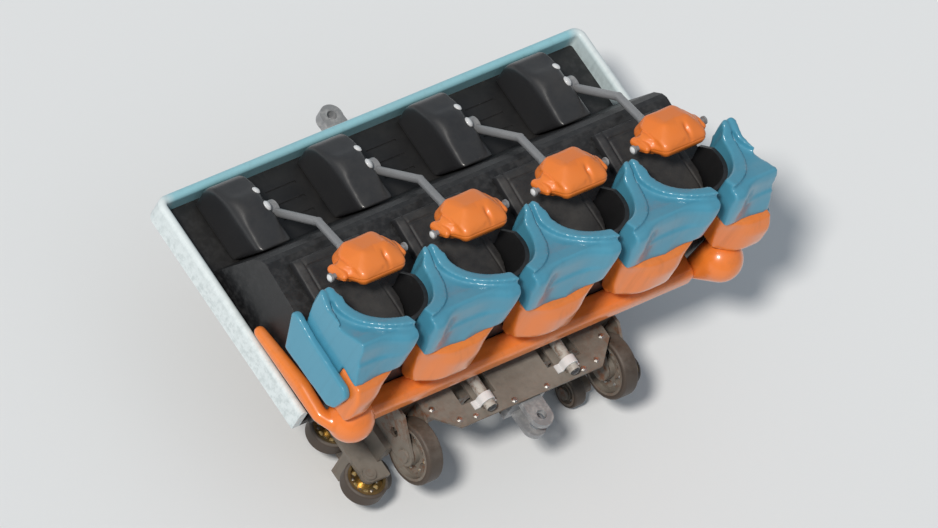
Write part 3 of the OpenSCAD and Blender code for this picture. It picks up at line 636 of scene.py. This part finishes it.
# %% Beam, bulbs and fins
beam = rounded_copy("rear_beam", "back_beam", voxel=0.007, rounds=8)
dress(beam, orange_gelcoat, "orange_paint", "car", "rear_beam")
for side in ("left", "right"):
    corner = rounded_copy(f"corner_{side}", f"end_bulb_{side}", voxel=0.008, rounds=10)
    dress(corner, orange_gelcoat, "orange_paint", "car", f"corner_{side}")
    panel = rounded_copy(f"side_panel_{side}", f"end_fin_{side}", voxel=0.006, rounds=14)
    dress(panel, teal_gelcoat, "teal_paint", "car", f"side_panel_{side}")

# %% [markdown]
# Four black pods stand in front of the seats, bulky and smooth, with the lock of the restraint inside.
# Relaxing a whole pod would also melt the bearing of the arm on its right side. So the strong relaxing is
# limited to a vertex group that leaves that side out.

# %% Leg pods
seat_x = [(k - 1.5) * PITCH for k in range(4)]
BEARING_FROM, BEARING_WIDTH = 0.030, 0.1


def off_bearing(x):
    """True where x lies outside the bearing side of every pod."""
    return all(not 0 < x - middle - BEARING_FROM < BEARING_WIDTH for middle in seat_x)


pods = rounded_copy("leg_pods", "pods", voxel=0.007, rounds=2, keep=1)
bulky = pods.vertex_groups.new(name="bulky")
bulky.add([v.index for v in pods.data.vertices if off_bearing(v.co.x)], 1.0, "ADD")
add_relax(pods, 45, "bulky")
add_thin(pods, 0.5)
shade_smooth(settle(pods))
dress(pods, pod_plastic, "black_plastic", "car", "leg_pods")
print("pods:", len(pods.data.vertices))

# %% [markdown]
# The chassis, the couplers, the fin, the floor, the seats and the arms already have the right shape, with
# their true edges and holes. They keep the frame's own mesh and only get a finish.

# %% Finishes on the frame's solids
FRAME_FINISH = {
    "chassis": chassis_paint,
    "carrier_left": chassis_paint,
    "carrier_right": chassis_paint,
    "front_coupler": grey_paint,
    "rear_coupler": grey_paint,
    "brake_fin": fin_steel,
    "floor_rim": pale_paint,
    # The floor pan takes the seat black, with its painted shade.
    "floor_pan": seat_plastic_and_painted_shade,
}
for number in range(1, 5):
    FRAME_FINISH[f"seat_{number}"] = seat_plastic_and_painted_shade
    FRAME_FINISH[f"restraint_arm_{number}"] = grey_paint
for name, material in FRAME_FINISH.items():
    nodes[name].data.materials.clear()
    nodes[name].data.materials.append(material)
print("finished:", len(FRAME_FINISH))

# %% [markdown]
# A wheel is a steel hub with a dark plastic tread cast round it. Cutting it in two would be a new shape. The
# tread's faces are those far from the axle, so they get the tread's finish and the rest the hub's.

# %% Wheel finishes
TREAD_FROM = 0.83


def wheel_facts(name):
    """A wheel's middle, its axle's direction as an index, its radius and its width."""
    low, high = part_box(name)
    size = high - low
    axis = min(range(3), key=lambda k: size[k])
    return (low + high) / 2, axis, max(size) / 2, size[axis]


HUB_OF = {"road": chassis_paint, "guide": brass, "upstop": chassis_paint}
wheel_names = [n for n in nodes if n.endswith(("_front", "_rear")) and "wheel" in n]
for name in wheel_names:
    middle, axis, radius, _ = wheel_facts(name)
    mesh = nodes[name].data
    mesh.materials.clear()
    mesh.materials.append(tyre)
    mesh.materials.append(HUB_OF[name.split("_")[0]])
    for face in mesh.polygons:
        away = face.center - middle
        away[axis] = 0
        face.material_index = 0 if away.length > radius * TREAD_FROM else 1
print("wheels:", len(wheel_names))

# %% [markdown]
# Small fasteners tell the size of everything round them. A hexagon bolt is a six-sided head with a
# chamfered top on a washer, and a domed cap is a turned outline. Both could be made from ready primitives,
# but those have sharp rims; drawn as points turned round an axis, they get their chamfers at once.


# %% Turned and hexagon parts
def turned(outline, sides):
    """Vertices and faces of an outline (radius, height) turned round +Z, closed at both ends."""
    verts, faces = [], []
    for radius, height in outline:
        for k in range(sides):
            angle = 2 * math.pi * k / sides
            verts.append((radius * math.cos(angle), radius * math.sin(angle), height))
    for row in range(len(outline) - 1):
        for k in range(sides):
            a, b = row * sides + k, row * sides + (k + 1) % sides
            faces.append((a, b, b + sides, a + sides))
    faces.append(tuple(reversed(range(sides))))
    faces.append(tuple(range(len(verts) - sides, len(verts))))
    return verts, faces


def hexagon_bolt(across_flats):
    """A bolt head on its washer, standing on z = 0."""
    r = across_flats / math.sqrt(3)
    washer = turned([(r * 1.35, 0), (r * 1.35, r * 0.14), (r * 1.25, r * 0.2)], 20)
    head = turned([(r, r * 0.15), (r, r * 0.75), (r * 0.86, r * 0.9), (r * 0.5, r * 0.92)], 6)
    return [washer, head]


def domed_cap(radius):
    """A low domed cap with a rim, standing on z = 0."""
    steps = [(radius, 0), (radius, radius * 0.22), (radius * 0.93, radius * 0.3)]
    for a in (0.0, 0.4, 0.8, 1.15, 1.45):
        steps.append((radius * 0.86 * math.cos(a), radius * (0.3 + 0.34 * math.sin(a))))
    return [turned(steps, 28)]


def set_out(name, parts_at, smooth=False):
    """One piece from parts placed at (parts, point, direction); every part's +Z turns to its direction."""
    verts, faces = [], []
    for parts, point, direction in parts_at:
        spin = Vector(direction).to_track_quat("Z", "Y")
        for part_verts, part_faces in parts:
            start = len(verts)
            verts += [Vector(point) + spin @ Vector(v) for v in part_verts]
            faces += [tuple(start + k for k in face) for face in part_faces]
    piece = new_object(name, mesh_of(name, verts, faces))
    if smooth:
        shade_smooth(piece)
    print(name, "parts:", len(parts_at))
    return piece


# %% [markdown]
# Two white caps sit on the right shoulder of each pod: one by the pivot of the arm, one ahead of it. Their
# white is a painted glint: the cap by the pivot stands for the sun's glint on the pivot's end, the one ahead of
# it for the glint on the top of the shoulder. The relaxed pod has no exact height any more. So a ray from
# above finds the shoulder, and each cap stands square to the surface there.

# %% Caps on the pods
PIVOT_Y, PIVOT_Z = 0.440, 0.940
CAP_SINK = 0.003
bpy.context.view_layer.update()
glint_caps = []
for x in seat_x:
    for ahead, radius in ((-0.005, 0.026), (0.088, 0.021)):
        above = Vector((x + 0.012, PIVOT_Y + ahead, 1.30))
        hit, point, normal, _ = pods.ray_cast(above, Vector((0, 0, -1)))
        if not hit:
            raise ValueError(f"no pod below {above}")
        glint_caps.append((domed_cap(radius), point - normal * CAP_SINK, normal))
# The white of these caps is a painted glint.
dress(set_out("pod_glint_caps", glint_caps, True), white_cap_and_glint, "pale_paint", "car")

# %% [markdown]
# A lap pad is thick skinned foam on the cross bar of its arm: a rounded shield with an ear at each side. It
# slopes with the arm, so its form is easiest to give in the arm's own measures: how far from the pivot, and
# how high above the arm.

# %% Places along an arm
ARM_SLOPE = math.radians(38)
ARM_LENGTH = 0.800


def along_arm(x, s, lift):
    """A point at x, a distance s along the arm from its pivot, raised by lift."""
    y = PIVOT_Y - s * math.cos(ARM_SLOPE) + lift * math.sin(ARM_SLOPE)
    z = PIVOT_Z + s * math.sin(ARM_SLOPE) + lift * math.cos(ARM_SLOPE)
    return Vector((x, y, z))


def on_arm(point):
    """The place (s, lift) of a point, the other way round."""
    y, z = PIVOT_Y - point.y, point.z - PIVOT_Z
    s = y * math.cos(ARM_SLOPE) + z * math.sin(ARM_SLOPE)
    return s, -y * math.sin(ARM_SLOPE) + z * math.cos(ARM_SLOPE)


# %% [markdown]
# A foam moulding has no flat side and no hard corner. The hull round a few balls gives such a body from ten
# points and their radii, and each ear is a hull of two balls. Remeshing joins them into one skin.


# %% Form of a lap pad
def hull_of_balls(balls):
    """The convex hull round balls given as (centre, radius), as a bmesh."""
    work = bmesh.new()
    for centre, radius in balls:
        made = bmesh.ops.create_icosphere(work, subdivisions=3, radius=radius)
        bmesh.ops.translate(work, verts=made["verts"], vec=centre)
    hull = bmesh.ops.convex_hull(work, input=work.verts)
    loose = [v for v in hull["geom_interior"] if isinstance(v, bmesh.types.BMVert)]
    loose += [v for v in work.verts if not v.link_faces]
    bmesh.ops.delete(work, geom=list(set(loose)), context="VERTS")
    outer = set(f for f in hull["geom"] if isinstance(f, bmesh.types.BMFace))
    inner = [f for f in work.faces if f not in outer]
    bmesh.ops.delete(work, geom=inner, context="FACES")
    return work


def joined(name, forms):
    """One object from several bmeshes."""
    mesh = bpy.data.meshes.new(name)
    whole = bmesh.new()
    for form in forms:
        part = bpy.data.meshes.new("part")
        form.to_mesh(part)
        whole.from_mesh(part)
        form.free()
    whole.to_mesh(mesh)
    whole.free()
    return new_object(name, mesh)


PAD_BALLS = (  # distance from the middle, place along the arm, lift, radius
    (0.100, 0.898, 0.026, 0.046),
    (0.138, 0.784, 0.034, 0.046),
    (0.092, 0.700, 0.046, 0.040),
    (0.070, 0.745, 0.100, 0.038),
    (0.060, 0.848, 0.092, 0.038),
)
EAR_BALLS = ((0.182, 0.757, 0.044, 0.027), (0.178, 0.842, 0.028, 0.025))


def balls_at(rows, x, side):
    """Balls of one side, as centres and radii."""
    return [(along_arm(x + side * out, s, lift), radius) for out, s, lift, radius in rows]


def pad_form(x):
    """The hull of a pad and its two ears, unsoftened."""
    body = balls_at(PAD_BALLS, x, -1) + balls_at(PAD_BALLS, x, 1)
    ears = [hull_of_balls(balls_at(EAR_BALLS, x, side)) for side in (-1, 1)]
    return joined("pad_form", [hull_of_balls(body)] + ears)


# %% [markdown]
# Foam presses its skin outward, so its faces crown between the seams. Scaling a piece would not do that. The
# skin starts a little inside the wanted form, and cloth with pressure and no gravity swells it for twenty
# steps. No point may move farther than a cap, and the same numbers give the same form each time.


# %% Swelling by cloth
def swell(piece, cap, inset=0.004, pressure=4.0, steps=20):
    """Cloth under pressure on a closed form; gives how far the farthest point moved."""
    mesh = piece.data
    inside = vertex_array(mesh) - normal_array(mesh) * inset
    move_to(mesh, inside)
    cloth = piece.modifiers.new("foam", "CLOTH")
    cloth.settings.quality = 4
    cloth.settings.mass = 0.3
    cloth.settings.tension_stiffness = 12
    cloth.settings.bending_stiffness = 1.0
    cloth.settings.use_pressure = True
    cloth.settings.uniform_pressure_force = pressure
    cloth.settings.effector_weights.gravity = 0
    cloth.point_cache.frame_start = 1
    cloth.point_cache.frame_end = steps
    for step in range(1, steps + 1):
        bpy.context.scene.frame_set(step)
    seen = piece.evaluated_get(bpy.context.evaluated_depsgraph_get())
    swollen = vertex_array(seen.data)
    piece.modifiers.clear()
    bpy.context.scene.frame_set(1)
    moved = swollen - inside
    far = np.linalg.norm(moved, axis=1)
    scale = np.minimum(1.0, cap / np.maximum(far, 1e-9))
    move_to(mesh, inside + moved * scale[:, None])
    return float((far * scale).max())


def finer(piece):
    """One subdivision, shaded smooth."""
    more = piece.modifiers.new("finer", "SUBSURF")
    more.levels = 1
    more.render_levels = 1
    shade_smooth(settle(piece))


# %% [markdown]
# The first pad is made at the left-hand seat. Its hull is remeshed and pressed, and one subdivision gives its
# seams enough points. A finer skin from the start would make the cloth slow.

# %% The first pad
pad = pad_form(seat_x[0])
add_skin(pad, 0.0065)
add_relax(pad, 3)
settle(pad)
print("pad swelled by", round(swell(pad, cap=0.009), 4), "vertices", len(pad.data.vertices))
finer(pad)

# %% [markdown]
# Seams and creases are cut into the skin of a real pad by its mould. A texture would be lost at the outline,
# so the fine mesh itself is pushed in along its normals, by a depth that falls off like a bell beside each
# line.

# %% Seams of the pads
FACE_LIFT = 0.030
RIGHT_CREASE = (0.011, 0.0065)
LEFT_CREASE = (0.006, 0.006)
EDGE_SEAM = (0.0022, 0.0035)
RECESS_DEPTH = 0.014


def groove(distance, half_width):
    """A bell-shaped groove: 1 on its line, near 0 two half widths away."""
    return math.exp(-((distance / half_width) ** 2))


def pad_lines(point):
    """The creases inside the two ears, the moulded seam round the edge, and the small recess at the back."""
    x = point.x - seat_x[0]
    s, lift = on_arm(point)
    on_face = min(1.0, max(0.0, (lift - FACE_LIFT) / 0.02))
    right = RIGHT_CREASE[0] * groove(x - 0.112 - 0.16 * (s - 0.76), RIGHT_CREASE[1]) * on_face
    left = LEFT_CREASE[0] * groove(x + 0.140, LEFT_CREASE[1]) * on_face
    seam = EDGE_SEAM[0] * groove(lift - 0.022, EDGE_SEAM[1])
    recess = RECESS_DEPTH * groove(x - 0.028, 0.012) * groove(s - 0.905, 0.020) * (lift > FACE_LIFT)
    return right + left + seam + recess


at = vertex_array(pad.data)
depths = np.array([pad_lines(Vector(spot)) for spot in at])
move_to(pad.data, at - normal_array(pad.data) * depths[:, None])
print("deepest line:", round(float(depths.max()), 4))

# %% [markdown]
# The four pads come from one mould, so the finished one is copied to each seat. Each copy rides on its own
# restraint and stands for that restraint's solid pad.


# %% A pad at every seat
def row_of(first, base_name):
    """A piece of the first seat and its copies at the others, named base_name_1 to base_name_4."""
    first.name = f"{base_name}_1"
    row = [first]
    for number, x in enumerate(seat_x[1:], 2):
        twin = new_object(f"{base_name}_{number}", first.data.copy())
        twin.data.transform(Matrix.Translation((x - seat_x[0], 0, 0)))
        row.append(twin)
    return row


for number, piece in enumerate(row_of(pad, "lap_cushion"), 1):
    dress(piece, pad_foam, "orange_pad", f"restraint_{number}", f"lap_pad_{number}")
print("pads:", number)

# %% [markdown]
# A white cap covers each end of the cross bar, outside the ears. The frame's arm says where the bar ends, so
# the caps are placed by its box and ride with it.

# %% Caps on the cross bars
BAR_LIFT = 0.030
for number in range(1, 5):
    low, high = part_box(f"restraint_arm_{number}")
    ends = []
    for x, way in ((low.x, -1), (high.x, 1)):
        end = along_arm(x, ARM_LENGTH, BAR_LIFT)
        ends.append((domed_cap(0.017), end - Vector((way * 0.001, 0, 0)), (way, 0, 0)))
    dress(set_out(f"bar_caps_{number}", ends, True), white_cap_and_glint, "pale_paint", f"restraint_{number}")

# %% [markdown]
# The seat cushions lie in the hollows: flat below, crowned above, with sewn channels across and a border.
# The frame's solid gives the outline. The same pressing rounds it, but its underside stays flat and its
# sides move by no more than 4 mm, because the seat holds them.

# %% One cushion
CHANNELS_Y = (-0.13, 0.0)
CHANNEL_DEPTH, CHANNEL_HALF = 0.006, 0.006
BORDER_X, BORDER_HALF = 0.155, 0.005
SEWN_BACK_Y = -0.42
SIDE_PLAY = 0.004


def one_solid(node_name, piece_name, middle_x, reach):
    """A copy of the part of a node that lies within reach of x = middle_x."""
    piece = copy_of(node_name, piece_name)
    work = bmesh.new()
    work.from_mesh(piece.data)
    away = [v for v in work.verts if abs(v.co.x - middle_x) > reach]
    bmesh.ops.delete(work, geom=away, context="VERTS")
    work.to_mesh(piece.data)
    work.free()
    return piece


cushion = one_solid("seat_cushions", "seat_cushion_1", seat_x[0], 0.30)
add_skin(cushion, 0.009)
add_relax(cushion, 5)
settle(cushion)
rest = vertex_array(cushion.data)
print("cushion swelled by", round(swell(cushion, cap=0.011, inset=0.005), 4), "vertices", len(rest))
now = vertex_array(cushion.data)
down = normal_array(cushion.data)[:, 2] < -0.3
now[down] = rest[down]
now[:, :2] = rest[:, :2] + np.clip(now[:, :2] - rest[:, :2], -SIDE_PLAY, SIDE_PLAY)
move_to(cushion.data, now)
finer(cushion)


# %% [markdown]
# Thread pulls the cover of a cushion down along its seams. Modelling the thread would not show from a step
# away. The crowned top is lowered along each seam, and the finished cushion is copied to each seat.


# %% Sewn lines, and a cushion in every seat
def sewn_lines(point):
    """The depth of the channels across the cushion and of the border stitched round its top."""
    x = abs(point.x - seat_x[0])
    channels = sum(groove(point.y - y, CHANNEL_HALF) for y in CHANNELS_Y) * (x < BORDER_X)
    border = groove(x - BORDER_X, BORDER_HALF)
    return CHANNEL_DEPTH * min(1.0, channels + border) * (point.y > SEWN_BACK_Y)


at = vertex_array(cushion.data)
on_top = normal_array(cushion.data)[:, 2] > 0.6
at[on_top, 2] -= [sewn_lines(Vector(spot)) for spot in at[on_top]]
move_to(cushion.data, at)
for piece in row_of(cushion, "seat_cushion"):
    dress(piece, cushion_skin, "cushion_skin", "car", "seat_cushions")
print("cushions:", len(seat_x))

# %% [markdown]
# Bolts hold each wheel's hub to its web, in a ring on both faces. They are too small to be solids of the
# frame, but the sun catches them. Each ring is set out from the wheel's own box and rides on the wheel, so
# the turning shows.

# %% Bolts on the wheels
WEB_HALF = 0.17
HUB_LEAST, HUB_SHARE = 0.0381, 0.34
TREAD_SHARE, TREAD_LIP = 0.14, 0.014
for name in wheel_names:
    middle, axis, radius, width = wheel_facts(name)
    way = Vector((0, 0, 0))
    way[axis] = 1
    around = [k for k in range(3) if k != axis]
    count = 8 if name.startswith("road") else 6
    hub = max(HUB_LEAST, radius * HUB_SHARE)
    ring = (hub + radius - radius * TREAD_SHARE - TREAD_LIP) / 2
    heads = []
    for k in range(count):
        angle = 2 * math.pi * (k + 0.5) / count
        for face in (-1, 1):
            spot = Vector(middle)
            spot[around[0]] += ring * math.cos(angle)
            spot[around[1]] += ring * math.sin(angle)
            spot[axis] += face * width * WEB_HALF
            heads.append((hexagon_bolt(0.011), spot, way * face))
    dress(set_out(f"bolts_{name}", heads), bright_steel, "bare_steel", name)

# %% [markdown]
# The deck behind the row is a plate bolted down along its edge. The bolts' places are given for one half and
# mirrored, clear of the slots and the clamps.

# %% Bolts on the deck
DECK_TOP = 0.647
HALF_DECK_BOLTS = (
    (0.52, -0.55), (0.52, -0.67), (0.42, -0.77), (0.10, -0.79), (0.33, -0.785), (0.10, -0.54), (0.42, -0.54),
)
deck_spots = [(side * x, y, DECK_TOP) for side in (-1, 1) for x, y in HALF_DECK_BOLTS]
deck_bolts = set_out("deck_bolts", [(hexagon_bolt(0.020), spot, (0, 0, 1)) for spot in deck_spots])
dress(deck_bolts, bright_steel, "bare_steel", "car")

# %% [markdown]
# Pale saddle clamps hold the two brace tubes to the deck. Each is an arch with a foot at either side. Bent
# sheet has the same section all along, so the outline is drawn once and pulled along the tube, and a bevel
# breaks its edges.

# %% Saddle clamps
BRACE_X, BRACE_Z, BRACE_R = 0.255, 0.683, 0.028
CLAMP_Y, CLAMP_HALF, CLAMP_THICK = -0.737, 0.022, 0.010


def saddle(name, x, y):
    """A clamp over a tube along Y."""
    outer, inner, foot = BRACE_R + 0.010, BRACE_R + 0.001, BRACE_R + 0.036
    base = DECK_TOP - BRACE_Z + 0.0005
    top = base + CLAMP_THICK
    arch = [(outer * math.cos(a), outer * math.sin(a)) for a in np.linspace(0, math.pi, 13)]
    under = [(inner * math.cos(a), inner * math.sin(a)) for a in np.linspace(math.pi, 0, 13)]
    outline = [(foot, base), (foot, top), (outer, top)] + arch
    outline += [(-outer, top), (-foot, top), (-foot, base), (-inner, base)] + under + [(inner, base)]
    verts = [(x + u, y + end * CLAMP_HALF, BRACE_Z + w) for end in (-1, 1) for u, w in outline]
    count = len(outline)
    faces = [(k, (k + 1) % count, (k + 1) % count + count, k + count) for k in range(count)]
    faces += [tuple(reversed(range(count))), tuple(range(count, 2 * count))]
    piece = new_object(name, mesh_of(name, verts, faces))
    edge = piece.modifiers.new("edge", "BEVEL")
    edge.width = 0.0015
    edge.segments = 2
    return settle(piece)


for side, label in ((-1, "left"), (1, "right")):
    dress(saddle(f"clamp_{label}", side * BRACE_X, CLAMP_Y), white_cap_and_glint, "pale_paint", "car")
print("clamps: 2, thick", CLAMP_THICK)

# %% [markdown]
# The brace tubes are part of the chassis solid, but they are painted paler, and their ends are closed with
# black plugs. Faces near a tube's axis get the second paint, so no mesh is changed.

# %% Brace tubes
BRACE_FROM_Y, BRACE_TO_Y = -0.80, -0.58
PLUG_Y = -0.789
plugs = [(domed_cap(0.024), (side * BRACE_X, PLUG_Y, BRACE_Z), (0, -1, 0)) for side in (-1, 1)]
dress(set_out("brace_plugs", plugs, True), pod_plastic, "black_plastic", "car")
chassis = nodes["chassis"].data
chassis.materials.append(brace_paint)
painted = 0
for face in chassis.polygons:
    off_axis = math.hypot(abs(face.center.x) - BRACE_X, face.center.z - BRACE_Z)
    if off_axis < BRACE_R + 0.001 and BRACE_FROM_Y < face.center.y < BRACE_TO_Y:
        face.material_index = 1
        painted += 1
print("faces in the brace paint:", painted)

# %% [markdown]
# Nothing more is added to the car.

# %% End
print("done")
